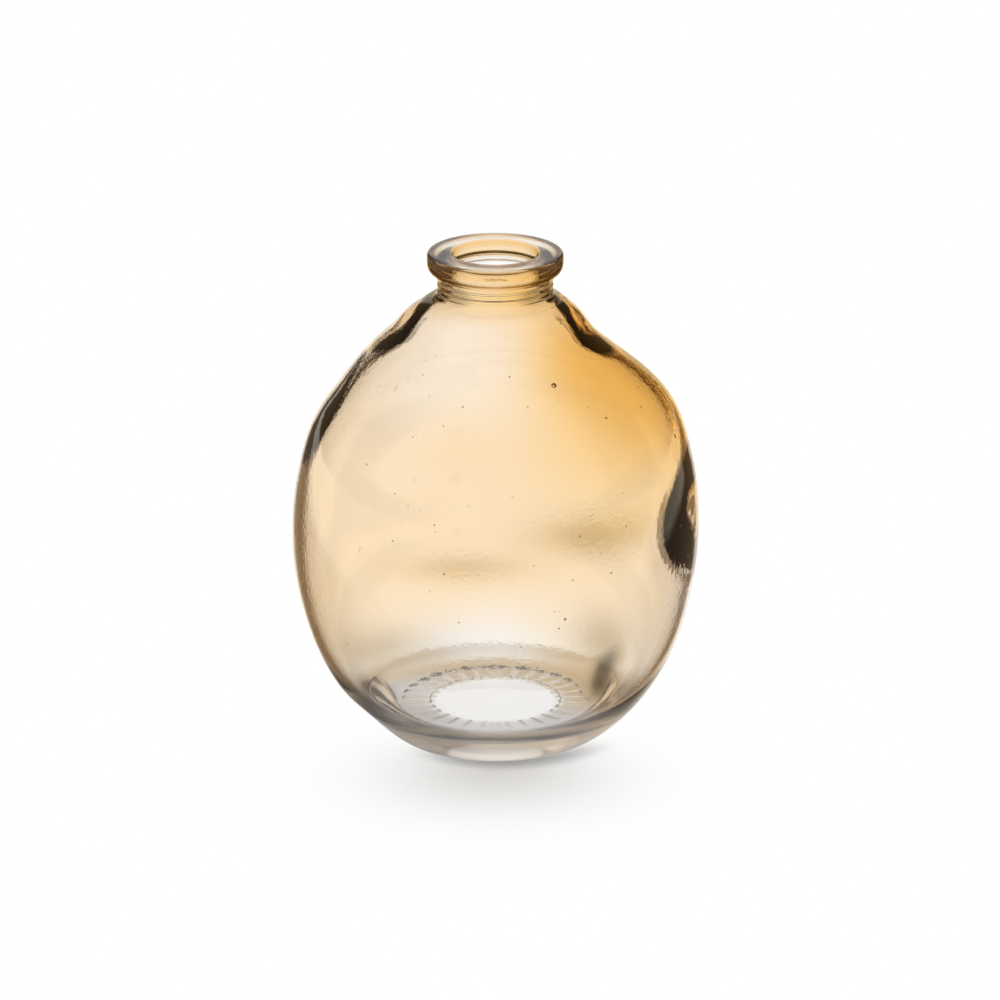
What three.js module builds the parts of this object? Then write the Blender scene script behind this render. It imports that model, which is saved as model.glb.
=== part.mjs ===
// A small flower vase of recycled glass: a thick-walled, softly lumpy bulb on a knurled foot ring, drawn in
// to a short neck with a flanged lip, and sprayed with an amber lacquer that thins out towards the foot.
// Millimetres, +Z up. The origin is on the table under the axis of the neck, and -Y is the front.
import * as THREE from "three";

// Foot: the shallow push-up, the bevelled step round it, and the ring that stands on the table
const PUSH_UP_RADIUS = 23.5;
const PUSH_UP_HEIGHT = 1.3;
const PUSH_UP_STEP = 0.9;
const PUSH_UP_BEVEL = 0.7;
const FOOT_RADIUS = 36.6;
const FOOT_PLAIN_WIDTH = 1.6;

// Knurls: radial grooves pressed across the inner part of the foot ring
const KNURL_COUNT = 30;
const KNURL_DEPTH = 0.5;
const KNURL_RUN_OUT = 1.2;

// Bulb: the widest ring, and the top of the shoulder where the neck starts
const BELLY_RADIUS = 72.5;
const BELLY_HEIGHT = 73;
const SHOULDER_RADIUS = 24;
const SHOULDER_HEIGHT = 162.5;

// Bulb curves: how far each end of the lower and of the upper curve runs before it bends away
const HEEL_REACH = 5;
const HEEL_RISE_DEGREES = 9;
const LOWER_BELLY_REACH = 51;
const UPPER_BELLY_REACH = 58;
const SHOULDER_REACH = 53;
const SHOULDER_SLOPE_DEGREES = 50;

// Neck and lip: the neck with the fillet at its root, the flange's rounded underside and how much of a rise
// its inner part has, and the flange's edge
const NECK_RADIUS = 20.5;
const NECK_HEIGHT = 9.7;
const NECK_FILLET = 3;
const LIP_UNDER_HEIGHT = 4.2;
const LIP_UNDER_RISE = 0.4;
const LIP_RADIUS = 24.2;
const LIP_EDGE_HEIGHT = 3.6;
const LIP_ROUNDING = 1.5;

// Inside: the mouth's straight bore, the flare under it, the walls, and the heavy floor
const MOUTH_RADIUS = 15.4;
const MOUTH_ROUNDING = 0.9;
const BORE_LENGTH = 7;
const BORE_FLARE_HEIGHT = 2;
const NECK_WALL = 2.9;
const SHOULDER_WALL = 3.8;
const BELLY_WALL = 3.4;
const INNER_UPPER_REACH = 56.5;
const INNER_LOWER_REACH = 42;
const FLOOR_THICKNESS = 14;
const FLOOR_RADIUS = 46;
const FLOOR_REACH = 4;

// Lacquer film: its thickness on the shoulder and at its lower edge, where it starts to thin and ends, and
// the hair's breadth it stands off the glass
const FILM_THICKNESS = 0.06;
const FILM_EDGE_THICKNESS = 0.02;
const FILM_THINS_BELOW = 120;
const FILM_ENDS_AT = 26;
const FILM_CLEARANCE = 0.02;

// Swells, dents and thick places of the wall. "bearing" is degrees round from the front towards the right,
// "outside" and "inside" are how far each face of the wall moves out, and "tall" and "round" are the half
// spans, in millimetres up the wall and degrees round it, where that dies away.
const LUMPS = {
  leftNeckRootSwell: { height: 156.5, bearing: 270, outside: 1.6, inside: 1.4, tall: 8, round: 70 },
  leftShoulderSwell: { height: 144, bearing: 270, outside: 2.7, inside: 2.4, tall: 19, round: 80 },
  leftShoulderStreak: { height: 150, bearing: 256, outside: 0, inside: -2, tall: 14, round: 40 },
  leftFlankFlat: { height: 112, bearing: 270, outside: -0.8, inside: -0.7, tall: 34, round: 80 },
  leftFlankStreak: { height: 117, bearing: 260, outside: 0, inside: -1.5, tall: 22, round: 30 },
  leftBellySwell: { height: 75, bearing: 270, outside: 0.7, inside: 0.6, tall: 34, round: 80 },
  leftHeelFlat: { height: 9, bearing: 292, outside: -1.3, inside: 0, tall: 13, round: 46 },
  rightNeckRootSwell: { height: 156.5, bearing: 90, outside: 1.4, inside: 1.3, tall: 8, round: 70 },
  rightShoulderStreak: { height: 151, bearing: 104, outside: 0, inside: -2.2, tall: 14, round: 42 },
  rightShoulderBulge: { height: 128, bearing: 88, outside: 2, inside: 1.8, tall: 24, round: 75 },
  rightBellySwell: { height: 85, bearing: 98, outside: 1, inside: 0.9, tall: 34, round: 60 },
  rightFlankStreak: { height: 84, bearing: 88, outside: 0, inside: -3.6, tall: 25, round: 42 },
  rightFlankKnob: { height: 92, bearing: 74, outside: 0, inside: -1.6, tall: 8, round: 14 },
  rightHeelDimple: { height: 40, bearing: 37, outside: -2, inside: -1.8, tall: 13, round: 10 },
  backWaistDent: { height: 70, bearing: 190, outside: -2.4, inside: -2.2, tall: 22, round: 52 },
  backShoulderSwell: { height: 118, bearing: 160, outside: 1.4, inside: 1.3, tall: 30, round: 50 },
};

// Facets: two to a knurl round the vase, and steps along the curves of the section
const SEGMENTS = 2 * KNURL_COUNT;
const BULB_STEPS = 10;
const HEEL_STEPS = 5;
const FILLET_STEPS = 3;
const ROUNDING_STEPS = 2;

const neckEnd = SHOULDER_HEIGHT + NECK_HEIGHT;
const lipFoot = neckEnd + LIP_UNDER_HEIGHT;
const height = lipFoot + LIP_EDGE_HEIGHT;
const boreFoot = height - BORE_LENGTH;
const throatRadius = NECK_RADIUS - NECK_WALL;

// Points of the half section that two stretches share
const at = (radius, z) => new THREE.Vector2(radius, z);
const footEdge = at(FOOT_RADIUS, 0);
const belly = at(BELLY_RADIUS, BELLY_HEIGHT);
const shoulder = at(SHOULDER_RADIUS, SHOULDER_HEIGHT);
const mouthEdge = at(MOUTH_RADIUS + MOUTH_ROUNDING, height);

const line = (...ends) => new THREE.LineCurve(...ends);
const bend = (...points) => new THREE.QuadraticBezierCurve(...points);
const sweep = (...points) => new THREE.CubicBezierCurve(...points);

// The point that lies "reach" away from "start", "degrees" above the outward horizontal
function reachFrom(start, reach, degrees) {
  const angle = THREE.MathUtils.degToRad(degrees);
  return at(start.x + reach * Math.cos(angle), start.y + reach * Math.sin(angle));
}

// Where along a rising curve it passes a height
function shareAtHeight(curve, z) {
  let low = 0;
  let high = 1;
  for (let halving = 0; halving < 40; halving++) {
    const middle = (low + high) / 2;
    if (curve.getPoint(middle).y < z) low = middle;
    else high = middle;
  }
  return high;
}

// A stretch of the section as rows: each row is a point and the way out of the glass there. A row with a
// "side" moves with that face of the lumps, and a "knurled" one lifts where a groove crosses it.
function rowsAlong(curve, steps, { from = 0, to = 1, ...traits } = {}) {
  const rows = [];
  for (let step = 0; step <= steps; step++) {
    const share = THREE.MathUtils.lerp(from, to, step / steps);
    const tangent = curve.getTangent(share);
    rows.push({ point: curve.getPoint(share), out: at(tangent.y, -tangent.x), ...traits });
  }
  return rows;
}

// Joins stretches end to end, and leaves out the first row of each where the last one already put it
function joined(...stretches) {
  return stretches.reduce((rows, stretch) => [...rows, ...stretch.slice(1)]);
}

// Underside, from the axis out to the foot's edge
function undersideRows() {
  const stepEdge = at(PUSH_UP_RADIUS, PUSH_UP_STEP);
  const ringInner = at(PUSH_UP_RADIUS + PUSH_UP_BEVEL, 0);
  const plainInner = at(FOOT_RADIUS - FOOT_PLAIN_WIDTH, 0);
  const grooveEnd = at(plainInner.x - KNURL_RUN_OUT, 0);
  const dome = bend(at(0, PUSH_UP_HEIGHT), at(PUSH_UP_RADIUS / 2, PUSH_UP_HEIGHT), stepEdge);
  return joined(
    rowsAlong(dome, ROUNDING_STEPS),
    rowsAlong(line(stepEdge, ringInner), 1, { knurled: true }),
    rowsAlong(line(ringInner, grooveEnd), 1, { knurled: true }),
    rowsAlong(line(grooveEnd, plainInner), 1),
    rowsAlong(line(plainInner, footEdge), 1),
  );
}

// Outside of the bulb, from the foot's edge up to the neck, with a row just where the lacquer ends
function bulbRows() {
  const lower = sweep(
    footEdge,
    reachFrom(footEdge, HEEL_REACH, HEEL_RISE_DEGREES),
    reachFrom(belly, LOWER_BELLY_REACH, -90),
    belly,
  );
  const upper = sweep(
    belly,
    reachFrom(belly, UPPER_BELLY_REACH, 90),
    reachFrom(shoulder, SHOULDER_REACH, -SHOULDER_SLOPE_DEGREES),
    shoulder,
  );
  const filmEnd = shareAtHeight(lower, FILM_ENDS_AT);
  return joined(
    rowsAlong(lower, HEEL_STEPS, { to: filmEnd, side: "outside" }),
    rowsAlong(lower, HEEL_STEPS, { from: filmEnd, side: "outside" }),
    rowsAlong(upper, BULB_STEPS, { side: "outside" }),
  );
}

// Neck and flanged lip, from the shoulder up and over to the edge of the mouth
function lipRows() {
  const neckFoot = at(NECK_RADIUS, SHOULDER_HEIGHT + NECK_FILLET);
  const neckTop = at(NECK_RADIUS, neckEnd);
  const edgeFoot = at(LIP_RADIUS, lipFoot);
  const edgeTop = at(LIP_RADIUS, height - LIP_ROUNDING);
  const topOuter = at(LIP_RADIUS - LIP_ROUNDING, height);
  return joined(
    rowsAlong(bend(shoulder, at(NECK_RADIUS, SHOULDER_HEIGHT + NECK_FILLET / 3), neckFoot), FILLET_STEPS),
    rowsAlong(line(neckFoot, neckTop), 1),
    rowsAlong(bend(neckTop, at(LIP_RADIUS, neckEnd + LIP_UNDER_RISE), edgeFoot), FILLET_STEPS),
    rowsAlong(line(edgeFoot, edgeTop), 1),
    rowsAlong(bend(edgeTop, at(LIP_RADIUS, height), topOuter), ROUNDING_STEPS),
    rowsAlong(line(topOuter, mouthEdge), 1),
  );
}

// Inside, from the edge of the mouth down to the middle of the floor
function insideRows() {
  const boreTop = at(MOUTH_RADIUS, height - MOUTH_ROUNDING);
  const boreEnd = at(MOUTH_RADIUS, boreFoot);
  const flareBend = at(MOUTH_RADIUS, boreFoot - (2 / 3) * BORE_FLARE_HEIGHT);
  const throatTop = at(throatRadius, boreFoot - BORE_FLARE_HEIGHT);
  const throatEnd = at(throatRadius, SHOULDER_HEIGHT + NECK_FILLET);
  const throatBend = at(throatRadius, SHOULDER_HEIGHT - NECK_FILLET / 3);
  const innerShoulder = reachFrom(shoulder, -SHOULDER_WALL, 90 - SHOULDER_SLOPE_DEGREES);
  const innerBelly = at(BELLY_RADIUS - BELLY_WALL, BELLY_HEIGHT);
  const floorEdge = at(FLOOR_RADIUS, FLOOR_THICKNESS);
  const upper = sweep(
    innerShoulder,
    reachFrom(innerShoulder, SHOULDER_REACH, -SHOULDER_SLOPE_DEGREES),
    reachFrom(innerBelly, INNER_UPPER_REACH, 90),
    innerBelly,
  );
  const lower = sweep(
    innerBelly,
    reachFrom(innerBelly, INNER_LOWER_REACH, -90),
    reachFrom(floorEdge, FLOOR_REACH, 0),
    floorEdge,
  );
  const traits = { side: "inside" };
  return joined(
    rowsAlong(bend(mouthEdge, at(MOUTH_RADIUS, height), boreTop), ROUNDING_STEPS),
    rowsAlong(line(boreTop, boreEnd), 1),
    rowsAlong(bend(boreEnd, flareBend, throatTop), ROUNDING_STEPS),
    rowsAlong(line(throatTop, throatEnd), 1),
    rowsAlong(bend(throatEnd, throatBend, innerShoulder), FILLET_STEPS),
    rowsAlong(upper, BULB_STEPS, traits),
    rowsAlong(lower, BULB_STEPS, traits),
    rowsAlong(line(floorEdge, at(0, FLOOR_THICKNESS)), ROUNDING_STEPS),
  );
}

// How far all the lumps together move one face of the wall out at a height and a bearing
function lumpAt(side, z, bearing) {
  let push = 0;
  for (const lump of Object.values(LUMPS)) {
    const aside = THREE.MathUtils.euclideanModulo(bearing - lump.bearing + 180, 360) - 180;
    const away = ((z - lump.height) / lump.tall) ** 2 + (aside / lump.round) ** 2;
    if (away < 1) push += lump[side] * (1 - away) ** 2;
  }
  return push;
}

// Where a row stands at one turn round the axis, moved by the lumps, into the knurls and out by a film
function placed({ point, out, side, knurled = false }, turn, film = 0) {
  const angle = (2 * Math.PI * turn) / SEGMENTS;
  const lump = side ? lumpAt(side, point.y, THREE.MathUtils.radToDeg(angle)) : 0;
  const push = (side === "inside" ? -lump : lump) + film;
  const groove = knurled && turn % 2 === 1 ? KNURL_DEPTH : 0;
  const radius = point.x + push * out.x;
  const z = point.y + push * out.y + groove;
  return new THREE.Vector3(radius * Math.sin(angle), -radius * Math.cos(angle), z);
}

// Turns rows about the axis into a closed skin
function turned(rows) {
  const geometry = new THREE.LatheGeometry(rows.map((row) => row.point), SEGMENTS);
  const position = geometry.getAttribute("position");
  const bare = [];
  for (let index = 0; index < position.count; index++) {
    const row = rows[index % rows.length];
    const turn = Math.floor(index / rows.length) % SEGMENTS;
    bare.push(placed(row, turn));
    position.setXYZ(index, ...placed(row, turn, row.film));
  }
  geometry.setIndex(facets(bare, rows.length));
  geometry.computeVertexNormals();
  return geometry;
}

// Splits each four-cornered facet along the shorter diagonal of the bare glass, so a film fits its facets
function facets(corners, rowCount) {
  const span = (first, second) => corners[first].distanceToSquared(corners[second]);
  const triangles = [];
  for (let turn = 0; turn < SEGMENTS; turn++) {
    for (let row = 0; row < rowCount - 1; row++) {
      const a = turn * rowCount + row;
      const b = a + rowCount;
      const c = b + 1;
      const d = a + 1;
      if (span(a, c) < span(b, d)) triangles.push(a, b, c, a, c, d);
      else triangles.push(a, b, d, b, c, d);
    }
  }
  return triangles;
}

// Sprayed film over everything outside above its lower edge: full on the shoulder and lip, thin at the edge
function filmRows(outsideRows) {
  const covered = outsideRows.filter((row) => row.point.y >= FILM_ENDS_AT);
  const backing = covered.map((row) => ({ ...row, film: FILM_CLEARANCE }));
  const face = covered.map((row) => {
    const share = THREE.MathUtils.smoothstep(row.point.y, FILM_ENDS_AT, FILM_THINS_BELOW);
    const thickness = THREE.MathUtils.lerp(FILM_EDGE_THICKNESS, FILM_THICKNESS, share);
    return { ...row, film: FILM_CLEARANCE + thickness };
  });
  return [...face, ...backing.reverse(), face[0]];
}

const clearGlass = new THREE.MeshStandardMaterial({
  color: 0xe9ece6,
  roughness: 0.03,
  metalness: 0,
  transparent: true,
  opacity: 0.35,
});
const amberLacquer = new THREE.MeshStandardMaterial({
  color: 0xe0a040,
  roughness: 0.06,
  metalness: 0,
  transparent: true,
  opacity: 0.5,
});

function named(name, geometry, material) {
  const mesh = new THREE.Mesh(geometry, material);
  mesh.name = name;
  return mesh;
}

const outside = joined(bulbRows(), lipRows());
const vase = new THREE.Group();
vase.add(named("glass_vessel", turned(joined(undersideRows(), outside, insideRows())), clearGlass));
vase.add(named("amber_lacquer", turned(filmRows(outside)), amberLacquer));

export default vase;
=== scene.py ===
from math import comb, cos, pi, radians, sin

import bpy
import numpy as np
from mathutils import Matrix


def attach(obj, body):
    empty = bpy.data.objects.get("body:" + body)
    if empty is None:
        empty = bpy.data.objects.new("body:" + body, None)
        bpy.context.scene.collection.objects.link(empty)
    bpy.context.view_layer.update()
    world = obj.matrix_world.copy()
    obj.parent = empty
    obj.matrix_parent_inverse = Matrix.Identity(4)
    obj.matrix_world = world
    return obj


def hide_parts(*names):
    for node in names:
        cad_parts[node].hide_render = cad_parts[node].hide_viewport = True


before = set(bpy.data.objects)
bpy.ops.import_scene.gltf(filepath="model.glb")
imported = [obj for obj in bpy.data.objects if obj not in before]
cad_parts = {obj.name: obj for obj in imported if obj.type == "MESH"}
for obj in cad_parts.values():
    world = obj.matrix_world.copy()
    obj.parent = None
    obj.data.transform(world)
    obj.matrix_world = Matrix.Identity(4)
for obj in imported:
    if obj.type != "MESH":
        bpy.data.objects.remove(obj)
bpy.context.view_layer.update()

# Glass vessel: one piece of recycled glass, blown into a mould and softened in the flame, so that its thick
# wall swells and dips. The foot ring is pressed with knurls round a push-up, and the lip is a bottle maker's
# flange, whose tool has left rings on the neck. Its half section is in millimetres, as radius and height.
MM = 0.001
FOOT_RADIUS = 36.6
BELLY_RADIUS, BELLY_HEIGHT = 72.5, 73
INNER_BELLY_RADIUS = 69.1
SHOULDER_RADIUS, SHOULDER_HEIGHT = 24, 162.5
SHOULDER_SLOPE = radians(50)
SHOULDER_REACH = 53
SHOULDER_WALL = 3.8
NECK_RADIUS = 20.5
NECK_RINGS, RING_DEPTH = 3, 0.15
THROAT_RADIUS = 17.6
LIP_RADIUS = 24.2
LIP_TOP = 180
MOUTH_RADIUS = 15.4
FLOOR_HEIGHT = 14
FLOOR_RADIUS = 46
KNURL_COUNT = 30
KNURL_DEPTH = 0.5
TURNS = 8 * KNURL_COUNT
UNDERSIDE, OUTSIDE, INSIDE = 0, 1, 2


def stretch(zone, steps, *corners, follow=0, knurl=0, rings=0):
    """Rows along one curve of the half section: radius, height, the way out of the glass, and traits."""
    order = len(corners) - 1
    corners = np.array(corners, float)
    sides = np.diff(corners, axis=0)
    t = np.linspace(0, 1, steps + 1)[:, None]
    place = sum(comb(order, k) * t**k * (1 - t) ** (order - k) * corners[k] for k in range(order + 1))
    along = sum(comb(order - 1, k) * t**k * (1 - t) ** (order - 1 - k) * sides[k] for k in range(order))
    along /= np.linalg.norm(along, axis=1, keepdims=True)
    out = np.hstack([along[:, 1:], -along[:, :1]])
    place = place + RING_DEPTH * np.sin(2 * pi * rings * t) * out
    traits = np.tile([follow, knurl, zone], (steps + 1, 1))
    return np.hstack([place, out, traits])


def shoulder_point(inset, reach):
    """A point at the top of the shoulder, set in from the outside, and back down the slope by a reach."""
    across = SHOULDER_RADIUS - inset * sin(SHOULDER_SLOPE) + reach * cos(SHOULDER_SLOPE)
    up = SHOULDER_HEIGHT - inset * cos(SHOULDER_SLOPE) - reach * sin(SHOULDER_SLOPE)
    return across, up


foot_edge = (FOOT_RADIUS, 0)
belly = (BELLY_RADIUS, BELLY_HEIGHT)
inner_belly = (INNER_BELLY_RADIUS, BELLY_HEIGHT)
shoulder = shoulder_point(0, 0)
shoulder_bend = shoulder_point(0, SHOULDER_REACH)
inner_shoulder = shoulder_point(SHOULDER_WALL, 0)
inner_bend = shoulder_point(SHOULDER_WALL, SHOULDER_REACH)
mouth_edge = (16.3, LIP_TOP)
floor_edge = (FLOOR_RADIUS, FLOOR_HEIGHT)
stretches = [
    stretch(UNDERSIDE, 8, (0, 1.3), (11.75, 1.3), (23.5, 0.9)),
    stretch(UNDERSIDE, 2, (23.5, 0.9), (24.2, 0), knurl=1),
    stretch(UNDERSIDE, 4, (24.2, 0), (33.8, 0), knurl=1),
    stretch(UNDERSIDE, 2, (33.8, 0), (35, 0)),
    stretch(UNDERSIDE, 1, (35, 0), foot_edge),
    stretch(OUTSIDE, 44, foot_edge, (41.5, 0.8), (BELLY_RADIUS, 22), belly, follow=1),
    stretch(OUTSIDE, 44, belly, (BELLY_RADIUS, 131), shoulder_bend, shoulder, follow=1),
    stretch(OUTSIDE, 8, shoulder, (NECK_RADIUS, 163.5), (NECK_RADIUS, 165.5)),
    stretch(OUTSIDE, 24, (NECK_RADIUS, 165.5), (NECK_RADIUS, 172.2), rings=NECK_RINGS),
    stretch(OUTSIDE, 8, (NECK_RADIUS, 172.2), (LIP_RADIUS, 172.6), (LIP_RADIUS, 176.4)),
    stretch(OUTSIDE, 4, (LIP_RADIUS, 176.4), (LIP_RADIUS, 178.5)),
    stretch(OUTSIDE, 6, (LIP_RADIUS, 178.5), (LIP_RADIUS, LIP_TOP), (22.7, LIP_TOP)),
    stretch(OUTSIDE, 4, (22.7, LIP_TOP), mouth_edge),
    stretch(INSIDE, 4, mouth_edge, (MOUTH_RADIUS, LIP_TOP), (MOUTH_RADIUS, 179.1)),
    stretch(INSIDE, 16, (MOUTH_RADIUS, 179.1), (MOUTH_RADIUS, 173)),
    stretch(INSIDE, 8, (MOUTH_RADIUS, 173), (MOUTH_RADIUS, 171.67), (THROAT_RADIUS, 171)),
    stretch(INSIDE, 4, (THROAT_RADIUS, 171), (THROAT_RADIUS, 165.5)),
    stretch(INSIDE, 8, (THROAT_RADIUS, 165.5), (THROAT_RADIUS, 161.5), inner_shoulder),
    stretch(INSIDE, 44, inner_shoulder, inner_bend, (INNER_BELLY_RADIUS, 129.5), inner_belly, follow=-1),
    stretch(INSIDE, 44, inner_belly, (INNER_BELLY_RADIUS, 31), (50, FLOOR_HEIGHT), floor_edge, follow=-1),
    stretch(INSIDE, 6, floor_edge, (0, FLOOR_HEIGHT)),
]
rows = np.vstack([stretches[0]] + [rest[1:] for rest in stretches[1:]])

# Swells, dents and thick places of the wall: height, bearing in degrees round from the front to the right,
# how far the outside and the inside of the wall move out, and the half spans up and round where that ends.
LUMPS = {
    "left neck root swell": (156.5, 270, 1.6, 1.4, 8, 70),
    "left shoulder swell": (144, 270, 2.7, 2.4, 19, 80),
    "left shoulder streak": (150, 256, 0, -2, 14, 40),
    "left flank flat": (112, 270, -0.8, -0.7, 34, 80),
    "left flank streak": (117, 260, 0, -1.5, 22, 30),
    "left belly swell": (75, 270, 0.7, 0.6, 34, 80),
    "left heel flat": (9, 292, -1.3, 0, 13, 46),
    "right neck root swell": (156.5, 90, 1.4, 1.3, 8, 70),
    "right shoulder streak": (151, 104, 0, -2.2, 14, 42),
    "right shoulder bulge": (128, 88, 2, 1.8, 24, 75),
    "right belly swell": (85, 98, 1, 0.9, 34, 60),
    "right flank streak": (84, 88, 0, -3.6, 25, 42),
    "right flank knob": (92, 74, 0, -1.6, 8, 14),
    "right heel dimple": (40, 37, -2, -1.8, 13, 10),
    "back waist dent": (70, 190, -2.4, -2.2, 22, 52),
    "back shoulder swell": (118, 160, 1.4, 1.3, 30, 50),
}


def wall_push(height, bearing, side):
    """How far the lumps move the outside (side 0) or the inside (side 1) of the wall out, in millimetres."""
    push = 0
    for at_height, at_bearing, *moves, half_tall, half_round in LUMPS.values():
        turned = (bearing - at_bearing + 180) % 360 - 180
        away = ((height - at_height) / half_tall) ** 2 + (turned / half_round) ** 2
        push = push + moves[side] * np.clip(1 - away, 0, None) ** 2
    return push


def ring_of(row, bearing):
    """The vertices of one row all the way round, in millimetres."""
    radius, height, out_across, out_up, follow, knurl, zone = row
    push = follow * wall_push(height, bearing, int(zone == INSIDE))
    groove = knurl * KNURL_DEPTH * (0.5 - 0.5 * np.cos(np.radians(KNURL_COUNT * bearing)))
    reach = radius + push * out_across
    angle = np.radians(bearing)
    return np.stack([reach * np.sin(angle), -reach * np.cos(angle), height + push * out_up + groove], axis=1)


def corner(row, turn):
    """The number of the vertex where a row crosses a turn; the first and last rows are points on the axis."""
    if row == 0:
        return 0
    return 1 + (row - 1) * TURNS + (turn % TURNS if row < last_row else 0)


bearings = np.arange(TURNS) * 360 / TURNS
last_row = len(rows) - 1
rings = [ring_of(row, bearings) for row in rows]
vertices = np.vstack([rings[0][:1], *rings[1:-1], rings[-1][:1]])
zones = np.repeat(rows[:, -1], [1] + [TURNS] * (last_row - 1) + [1])
faces = []
for row in range(last_row):
    for turn in range(TURNS):
        ring = [corner(row, turn), corner(row, turn + 1), corner(row + 1, turn + 1), corner(row + 1, turn)]
        faces.append(list(dict.fromkeys(ring)))

# Seeds: bubbles of air caught in the wall, four to see and a scatter of specks, as height, bearing and
# radius. Each is a small globe whose faces look in, because the glass is round it.
BUBBLES = [(143.4, 29.4, 1.0), (116.5, 74, 0.8), (67.5, 20, 0.5), (130.3, 45, 0.45)]
BUBBLE_DEPTH = 1.7
BUBBLE_SIDES, BUBBLE_RINGS = 12, 5
SPECK_COUNT = 120
SPECK_HEIGHTS = 45, 152
SPECK_RADII = 0.14, 0.36
chance = np.random.default_rng(7)
speck_heights = chance.uniform(*SPECK_HEIGHTS, SPECK_COUNT)
speck_bearings = chance.uniform(0, 360, SPECK_COUNT)
speck_radii = chance.uniform(*SPECK_RADII, SPECK_COUNT)
specks = np.stack([speck_heights, speck_bearings, speck_radii], axis=1)
wall_rows = rows[(rows[:, -1] == OUTSIDE) & (rows[:, 4] == 1)]
globe = [(0, 0, -1)]
for ring in range(1, BUBBLE_RINGS + 1):
    polar = pi * ring / (BUBBLE_RINGS + 1)
    for side in range(BUBBLE_SIDES):
        turn = 2 * pi * side / BUBBLE_SIDES
        globe.append((sin(polar) * cos(turn), sin(polar) * sin(turn), -cos(polar)))
globe = np.array(globe + [(0, 0, 1)])
globe_top = len(globe) - 1
globe_faces = []
for side in range(BUBBLE_SIDES):
    beside = (side + 1) % BUBBLE_SIDES
    globe_faces.append([0, 1 + side, 1 + beside])
    for base in range(1, globe_top - BUBBLE_SIDES, BUBBLE_SIDES):
        above = base + BUBBLE_SIDES
        globe_faces.append([base + side, above + side, above + beside, base + beside])
    last = globe_top - BUBBLE_SIDES
    globe_faces.append([last + side, globe_top, last + beside])
for height, bearing, radius in np.vstack([BUBBLES, specks]):
    row = wall_rows[np.abs(wall_rows[:, 1] - height).argmin()]
    way_out = np.array([row[2] * sin(radians(bearing)), -row[2] * cos(radians(bearing)), row[3]])
    middle = ring_of(row, np.array([bearing]))[0] - BUBBLE_DEPTH * way_out
    faces += [[len(vertices) + number for number in face] for face in globe_faces]
    vertices = np.vstack([vertices, middle + radius * globe])
    zones = np.append(zones, [UNDERSIDE] * len(globe))

vase_mesh = bpy.data.meshes.new("glass_vase")
vase_mesh.from_pydata((vertices * MM).tolist(), [], faces)
vase_mesh.shade_smooth()
vase_mesh.set_sharp_from_angle(angle=radians(40))
vase = bpy.data.objects.new("glass_vase", vase_mesh)
bpy.context.collection.objects.link(vase)


class Wire:
    """A shader node's output, which Python arithmetic extends with Math nodes."""

    def __init__(self, tree, socket=None):
        self.tree = tree
        self.socket = socket

    def node(self, kind, settings=None, inputs=None, output=0):
        """A new node with its settings made and its inputs set or linked, as the wire from one output."""
        made = self.tree.nodes.new(kind)
        for name, value in (settings or {}).items():
            setattr(made, name, value)
        for name, value in (inputs or {}).items():
            if isinstance(value, Wire):
                self.tree.links.new(value.socket, made.inputs[name])
            else:
                made.inputs[name].default_value = value
        return Wire(self.tree, made.outputs[output] if made.outputs else None)

    def math(self, operation, *values):
        return self.node("ShaderNodeMath", {"operation": operation}, dict(enumerate(values)))

    def __add__(self, other):
        return self.math("ADD", self, other)

    def __radd__(self, other):
        return self.math("ADD", other, self)

    def __sub__(self, other):
        return self.math("SUBTRACT", self, other)

    def __rsub__(self, other):
        return self.math("SUBTRACT", other, self)

    def __mul__(self, other):
        return self.math("MULTIPLY", self, other)

    def __rmul__(self, other):
        return self.math("MULTIPLY", other, self)

    def __truediv__(self, other):
        return self.math("DIVIDE", self, other)

    def __rtruediv__(self, other):
        return self.math("DIVIDE", other, self)

    def __pow__(self, other):
        return self.math("POWER", self, other)

    def __rpow__(self, other):
        return self.math("POWER", other, self)

    def __neg__(self):
        return self.math("MULTIPLY", self, -1)

    def __abs__(self):
        return self.math("ABSOLUTE", self)


def new_tree(material):
    """A material's emptied node tree as a wire with nothing on it yet."""
    material.use_nodes = True
    material.node_tree.nodes.clear()
    return Wire(material.node_tree)


# Lacquer: a transparent amber film sprayed on the outside of the glass, heaviest on the right shoulder and
# fading to nothing above the foot. It has no thickness to see, so it is the colour of the glass's outside. It
# has pooled brown round the neck and lip, with painted shade on their sides. The heel dimple has a darker
# brown spot, and a dark line of painted shade runs round the inside of the mouth.
BODY_COAT, LIP_COAT, MOUTH_COAT, MOUTH_SHADE_COAT = 0.33, 0.58, 0.35, 0.9
MOST_DARKENING = 0.8
HEM_HEIGHT, HEM_FADE = 8, 32
FILM_COLOUR = (0.993, 0.7, 0.47)
FILM_DEEPENING = (0, 0.2, 0.93)

# Where the hem rises or drops: how far, its bearing, and its half span round
HEM_WAVES = {"front": (42, -4, 33), "right of the front": (-18, 55, 25)}

# Places with more or less film or darkening, some of it painted shade: how much, height, bearing, and the half
# spans up and round
BODY_PATCHES = {
    "right shoulder blush": (0.8, 138, 62, 30, 44),
    "pale left shoulder": (-0.28, 152, 335, 26, 60),
    "right belly streak": (0.14, 96, 36, 6, 22),
    "front belly streak": (0.1, 84, 350, 5, 20),
    "front shoulder streak": (0.1, 128, 345, 9, 16),
    "front of the blush": (0.16, 147, 38, 10, 20),
    "pale right heel": (-0.2, 55, 78, 20, 25),
}
LIP_PATCHES = {"right front of the lip": (0.35, 172, 32, 9, 25)}
# Round the neck and lip; the smears on their right and left sides are painted shade
LIP_SMEARS = {
    "right side of the neck": (0.15, 167, 90, 6, 45),
    "left side of the neck": (0.15, 167, 270, 6, 45),
    "right side of the lip": (0.3, 176, 90, 4, 45),
    "left side of the lip": (0.3, 176, 270, 4, 45),
    "back of the lip": (0.15, 178, 180, 2.2, 80),
    "pale back of the neck": (-0.6, 168.7, 180, 6.8, 80),
}
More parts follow.
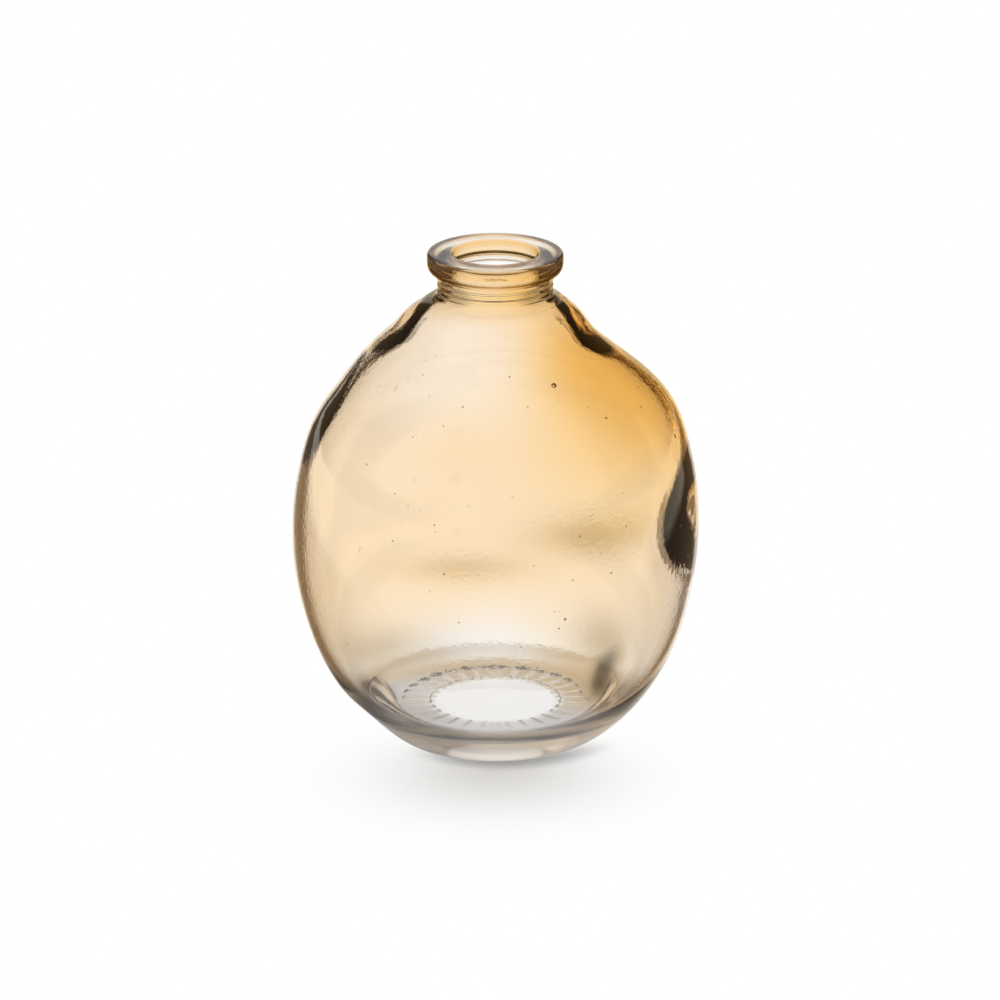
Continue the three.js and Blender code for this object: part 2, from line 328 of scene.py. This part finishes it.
DARKENING_SMEARS = {
    "heel dimple": (0.7, 40.5, 35, 10, 4.5),
    "front edge of the lip": (0.26, 178.8, 0, 0.8, 70),
    "right corner of the neck": (0.42, 167.9, 46, 3.6, 22),
    "left corner of the neck": (0.42, 167.9, 314, 3.6, 22),
}
# Painted shade: the right and left sides of the lip made darker
LIP_SIDE_SHADE = {
    "right side of the lip": (0.28, 176, 90, 4, 45),
    "left side of the lip": (0.28, 176, 270, 4, 45),
}
# A dark line of painted shade round the inside of the mouth: height, bearing, and the half spans up and round
MOUTH_SHADE_LINE = (175.3, 180, 0.55, 110)


def smooth(value, low, high):
    share = np.clip((value - low) / (high - low), 0, 1)
    return share * share * (3 - 2 * share)


def patch(at_height, at_bearing, half_tall, half_round):
    """1 in the middle of a soft round patch of the wall, falling to 0 outside it."""
    turned = (v_bearing - at_bearing + 180) % 360 - 180
    return np.exp(-(((v_height - at_height) / half_tall) ** 2) - (turned / half_round) ** 2)


def smear(at_height, at_bearing, half_tall, half_round):
    """A patch with a flat middle and a firmer edge."""
    return np.exp(-(np.log(patch(at_height, at_bearing, half_tall, half_round) + 1e-9) ** 2))


def total(shape, places):
    return sum(amount * shape(*place) for amount, *place in places.values())


v_height = vertices[:, 2]
v_radius = np.hypot(vertices[:, 0], vertices[:, 1])
v_bearing = np.degrees(np.arctan2(vertices[:, 0], -vertices[:, 1]))
flat_top = smooth(v_height, 179.2, 179.9)
mouth_shade_line = smear(*MOUTH_SHADE_LINE)
waves = [rise * np.exp(-(((v_bearing - at) / half) ** 2)) for rise, at, half in HEM_WAVES.values()]
hem = HEM_HEIGHT + sum(waves)
coat = (BODY_COAT + total(patch, BODY_PATCHES)) * smooth(v_height, hem, hem + HEM_FADE)
lip_coat = LIP_COAT + total(patch, LIP_PATCHES) + total(smear, LIP_SMEARS)
coat = (coat + (lip_coat - coat) * smooth(v_height, 158, 168)) * (1 - flat_top)
mouth_coat = (MOUTH_COAT + MOUTH_SHADE_COAT * mouth_shade_line) * smooth(v_height, 174, 174.7)
coat = np.select([zones == OUTSIDE, zones == INSIDE], [coat, mouth_coat])
# Darkening: a brown spot in the heel dimple, the lip's front edge and the neck's corners, painted shade on the
# sides of the lip, and the line of painted shade inside the mouth
darkening = total(smear, DARKENING_SMEARS) + total(smear, LIP_SIDE_SHADE) * (1 - flat_top)
darkening = np.clip(darkening, 0, MOST_DARKENING)
darkening = np.select([zones == OUTSIDE, zones == INSIDE], [darkening, MOST_DARKENING * mouth_shade_line])

# Dull places: the lip a little, and more so its flat top, the pressed knurls and the inside of the heel
LIP_FROST, TOP_FROST, KNURL_FROST, HEEL_FROST = 0.06, 0.2, 0.24, 0.2
lip = smooth(v_height, 166, 172)
knurls = smooth(v_radius, 22, 24) * (1 - smooth(v_radius, 34, 36)) * (v_height < 2)
heel = (zones == INSIDE) * smooth(v_radius, 41, 45) * (1 - smooth(v_height, 18, 26))
frost = LIP_FROST * lip + TOP_FROST * flat_top + KNURL_FROST * knurls + HEEL_FROST * heel
for name, values in {"lacquer": coat, "darkening": darkening, "frost": frost}.items():
    vase_mesh.attributes.new(name, "FLOAT", "POINT").data.foreach_set("value", values)


def mapped(value, low, high):
    inputs = {"Value": value, "From Min": low, "From Max": high}
    return value.node("ShaderNodeMapRange", {"interpolation_type": "SMOOTHSTEP"}, inputs)


def parts_of(axis):
    return [axis.node("ShaderNodeSeparateXYZ", inputs={"Vector": axis}, output=k) for k in range(3)]


GLASS_IOR = 1.5
GLASS_TINT, TINT_DENSITY = (0.82, 0.7, 0.5, 1), 7.0
RIPPLE_SCALE, RIPPLE_DEPTH = 500.0, 0.00003
RIPPLE_STARTS = 0.02, 0.06
material = bpy.data.materials.new("lacquered_glass")
tree = new_tree(material)
thickness, darkened, dull = [
    tree.node("ShaderNodeAttribute", {"attribute_name": name}, output="Fac")
    for name in ("lacquer", "darkening", "frost")
]
clear = 1 - darkened
passing = [
    clear * share ** (thickness + deepening * thickness * thickness)
    for share, deepening in zip(FILM_COLOUR, FILM_DEEPENING)
]
colour = tree.node("ShaderNodeCombineColor", inputs=dict(enumerate(passing)))
place = tree.node("ShaderNodeTexCoord", output="Object")
ripple = tree.node("ShaderNodeTexNoise", inputs={"Vector": place, "Scale": RIPPLE_SCALE, "Detail": 2.0})
ripple = ripple * mapped(parts_of(place)[2], *RIPPLE_STARTS)
skin = tree.node("ShaderNodeBump", inputs={"Height": ripple, "Strength": 1.0, "Distance": RIPPLE_DEPTH})
inputs = {"Color": colour, "IOR": GLASS_IOR, "Roughness": dull, "Normal": skin}
shader = tree.node("ShaderNodeBsdfGlass", inputs=inputs)
body = tree.node("ShaderNodeVolumeAbsorption", inputs={"Color": GLASS_TINT, "Density": TINT_DENSITY})
tree.node("ShaderNodeOutputMaterial", inputs={"Surface": shader, "Volume": body})
vase_mesh.materials.append(material)
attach(vase, "root")
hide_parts("glass_vessel", "amber_lacquer")

# Table: a plain white sheet that fades into a white room. What the glass shows of it has painted shade to
# either side of a strip behind the vase, a painted grey or tan shadow round the foot, and painted pools of
# amber light and of shade.
WHITE = (0.99, 0.99, 0.99, 1)
UNDER_PUSH_UP = (0.93, 0.955, 0.99, 1)
PAINTED_SHADOW_UNDER_KNURLS = (0.36, 0.35, 0.36, 1)
PAINTED_TAN_SHADOW = (0.42, 0.25, 0.03, 1)
PAINTED_AMBER = (0.42, 0.34, 0.18, 1)
CARD_AND_PAINTED_SHADE = (0.24, 0.18, 0.13, 1)
SHADE = (0.1, 0.09, 0.08, 1)

# Painted pools of amber light and of shade on the sheet: how strong, where across and back, and the half spans
# across and back
AMBER_POOLS = {
    "far right": (0.6, 0.046, 0.205, 0.028, 0.026),
    "far middle": (0.4, -0.014, 0.165, 0.024, 0.016),
    "near right": (0.62, 0.043, 0.075, 0.013, 0.04),
    "near left": (0.5, -0.046, 0.065, 0.025, 0.03),
    "right of the foot": (0.8, 0.037, 0.013, 0.009, 0.014),
}
SHADE_POOLS = {
    "left of the foot": (0.9, -0.054, -0.015, 0.018, 0.025),
    "right of the foot": (0.35, 0.056, -0.014, 0.016, 0.022),
}
SHADOW_POOL = (0, -0.06, 0.045, 0.035)

# Where rings and strips on the sheet start and end, in metres from the axis, across or back
PUSH_UP_ENDS = 0.022, 0.03
KNURLS_START, KNURLS_END = (0.022, 0.027), (0.038, 0.046)
HEEL_STARTS, HEEL_ENDS = (0.036, 0.044), (0.05, 0.07)
FOOT_ENDS = 0.036, 0.048
STRIP_EDGE = 0, 0.02
DARK_SIDES_END = 0.2, 0.28
PAPER = 0.9
SKY_LIGHT = 0.85
HALF_TABLE, TABLE_DROP = 6, 0.0002


def ray(tree, kind):
    return tree.node("ShaderNodeLightPath", output=kind)


def glass_ray(tree):
    """1 for a ray that comes straight from the glass, and 0 for one that a matt surface has sent on."""
    fresh = tree.math("LESS_THAN", ray(tree, "Diffuse Depth"), 0.5)
    return tree.math("MAXIMUM", ray(tree, "Is Glossy Ray"), ray(tree, "Is Transmission Ray")) * fresh


def blend(factor, first, second):
    return factor.node("ShaderNodeMix", {"data_type": "RGBA"}, {"Factor": factor, 6: first, 7: second}, 2)


def grey(value):
    return value.node("ShaderNodeCombineColor", inputs={0: value, 1: value, 2: value})


def pool(x, y, at_x, at_y, half_wide, half_deep):
    """1 in the middle of a soft pool on the sheet, falling to 0 outside it."""
    across, along = (x - at_x) / half_wide, (y - at_y) / half_deep
    return 2.718 ** (-(across * across + along * along))


def reach_of(x, y):
    return (x * x + y * y) ** 0.5


floor_mesh = bpy.data.meshes.new("table")
floor_corners = [(-1, -1), (1, -1), (1, 1), (-1, 1)]
floor_places = [(HALF_TABLE * x, HALF_TABLE * y, 0) for x, y in floor_corners]
floor_mesh.from_pydata(floor_places, [], [(0, 1, 2, 3)])
floor = bpy.data.objects.new("table", floor_mesh)
floor.location.z = -TABLE_DROP
bpy.context.collection.objects.link(floor)
paper = bpy.data.materials.new("white_paper")
tree = new_tree(paper)
by_glass = glass_ray(tree)
x, y, _ = parts_of(tree.node("ShaderNodeTexCoord", output="Object"))
out = reach_of(x, y)
right, left = mapped(x, 0.0, 0.03), mapped(-x, 0.0, 0.03)

behind = mapped(y + 0.5 * x, -0.01, 0.025)
in_front = mapped(-y, 0.005, 0.02)
aside = mapped(abs(x), 0.006, 0.026)
# Painted shadow under the knurl ring, grey in front and tan behind, and a painted tan shadow round the heel
knurl_ring = mapped(out, *KNURLS_START) * (1 - mapped(out, *KNURLS_END))
knurl_shadow = (0.62 + 0.18 * behind + in_front * (0.28 * aside - 0.12)) * knurl_ring
heel_ring = mapped(out, *HEEL_STARTS) * (1 - mapped(out, *HEEL_ENDS)) * mapped(y, 0.0, 0.03)
seen = blend(mapped(out, *PUSH_UP_ENDS), UNDER_PUSH_UP, WHITE)
seen = blend(knurl_shadow, seen, blend(behind, PAINTED_SHADOW_UNDER_KNURLS, PAINTED_TAN_SHADOW))
seen = blend((0.36 + 0.24 * aside) * heel_ring, seen, PAINTED_TAN_SHADOW)
for amount, *place in AMBER_POOLS.values():
    seen = blend(amount * pool(x, y, *place), seen, PAINTED_AMBER)

# Painted shade to either side of a strip behind the vase
half_strip = y.math("MINIMUM", 0.042 + 0.52 * y, 0.075 + 0.28 * y)
half_strip = half_strip + right * (0.014 + 0.006 * mapped(y, 0.1, 0.2)) + 0.04 * left * mapped(y, 0.5, 0.8)
past = abs(x) - half_strip
dark_sides = mapped(past, *STRIP_EDGE) * (1 - mapped(past, *DARK_SIDES_END)) * mapped(y, -0.08, 0.0)
seen = blend(dark_sides, seen, CARD_AND_PAINTED_SHADE)
# Painted shade pools beside the foot
for amount, *place in SHADE_POOLS.values():
    seen = blend(amount * pool(x, y, *place), seen, SHADE)

near = pool(x, y, *SHADOW_POOL)
# A painted contact shadow darkens the sheet under the front of the foot
painted_contact_shadow = (1 - mapped(reach_of(x - 0.003, y), *FOOT_ENDS)) * mapped(0.1 * x - y, 0.018, 0.036)
contact_shade_factor = 1 - 0.5 * painted_contact_shadow
matt = PAPER * near * (1 - by_glass) * contact_shade_factor
open_sheet = ray(tree, "Is Camera Ray") * (1 - SKY_LIGHT * PAPER * near) * contact_shade_factor
inputs = {"Base Color": grey(matt), "Roughness": 1.0, "Specular IOR Level": 0.0}
inputs.update({"Emission Color": blend(by_glass, grey(open_sheet), seen), "Emission Strength": 1.0})
sheet = tree.node("ShaderNodeBsdfPrincipled", inputs=inputs)
tree.node("ShaderNodeOutputMaterial", inputs={"Surface": sheet})
floor_mesh.materials.append(paper)

# Studio: a white room whose ceiling is dim, with a dark card to either side behind the vase. Through the
# glass the cards reach further round, stop short of the ceiling, and close up behind the vase near the ground.
MIRRORED_CEILING = (0.38, 0.32, 0.41, 1)
CEILING = (0.54, 0.53, 0.54, 1)
LEFT_CARD = (0.24, 0.17, 0.1, 1)
DARK_CARD = (0.08, 0.06, 0.04, 1)

# Edges of the cards, in degrees round from straight behind
CARD_INNER_EDGE = 17
MIRRORED_OUTER_EDGE = 54, 66
OUTER_EDGE = 70, 105
REACH_AT_GROUND = 45
world = bpy.data.worlds.new("studio")
bpy.context.scene.world = world
world.cycles.sampling_method = "NONE"
tree = new_tree(world)
passed = ray(tree, "Is Transmission Ray")
x, y, z = parts_of(tree.node("ShaderNodeTexCoord", output="Generated"))
turn = abs(x.math("ARCTAN2", x, y)) * 57.29578
left = mapped(-x, -0.1, 0.1)
ground = 1 - mapped(z, 0.14, 0.24)
under = passed * (1 - mapped(z, 0.2, 0.35))
upper = passed * (1 - left) * mapped(z, 0.4, 0.6)
above = passed * mapped(z, 0.75, 0.9) * (1 - mapped(turn, 25, 40) * (1 - left))
slit = passed * (1 - mapped(z, 0.085, 0.11)) * (1 - mapped(turn, 10, 16))
mirrored = 1 - mapped(turn, *MIRRORED_OUTER_EDGE)
through = 1 - mapped(turn - REACH_AT_GROUND * ground, *OUTER_EDGE)
dark_sides = mirrored + (through - mirrored) * passed
dark_sides = dark_sides * mapped(turn - CARD_INNER_EDGE * (1 - under), -2, 2) * (1 - above) * (1 - 0.5 * slit)
card = blend(under.math("MAXIMUM", under, upper), blend(left, CARD_AND_PAINTED_SHADE, LEFT_CARD), DARK_CARD)
ceiling = blend(passed, MIRRORED_CEILING, CEILING)
shown = blend(mapped(z, 0.22, 0.55) * mapped(y, -0.2, 0.3), (1, 1, 1, 1), ceiling)
shown = blend(dark_sides, shown, card)
full = passed.math("MAXIMUM", passed, ray(tree, "Is Camera Ray"))
plain = grey(SKY_LIGHT + (1 - SKY_LIGHT) * full)
light = blend(glass_ray(tree), plain, shown)
sky = tree.node("ShaderNodeBackground", inputs={"Color": light, "Strength": 1})
tree.node("ShaderNodeOutputWorld", inputs={"Surface": sky})

# Camera: a long lens a little above the lip, looking down at the vase from the front
CAMERA_PLACE = (0.00168, -1.7, 0.6949)
CAMERA_PITCH = radians(19.69)
LENS, SENSOR_WIDTH = 180.4, 36
camera_data = bpy.data.cameras.new("camera")
camera_data.sensor_fit = "HORIZONTAL"
camera_data.sensor_width = SENSOR_WIDTH
camera_data.lens = LENS
camera = bpy.data.objects.new("camera", camera_data)
camera.location = CAMERA_PLACE
camera.rotation_euler = (radians(90) - CAMERA_PITCH, 0, 0)
bpy.context.collection.objects.link(camera)
bpy.context.scene.camera = camera
bpy.context.scene.view_settings.view_transform = "Standard"
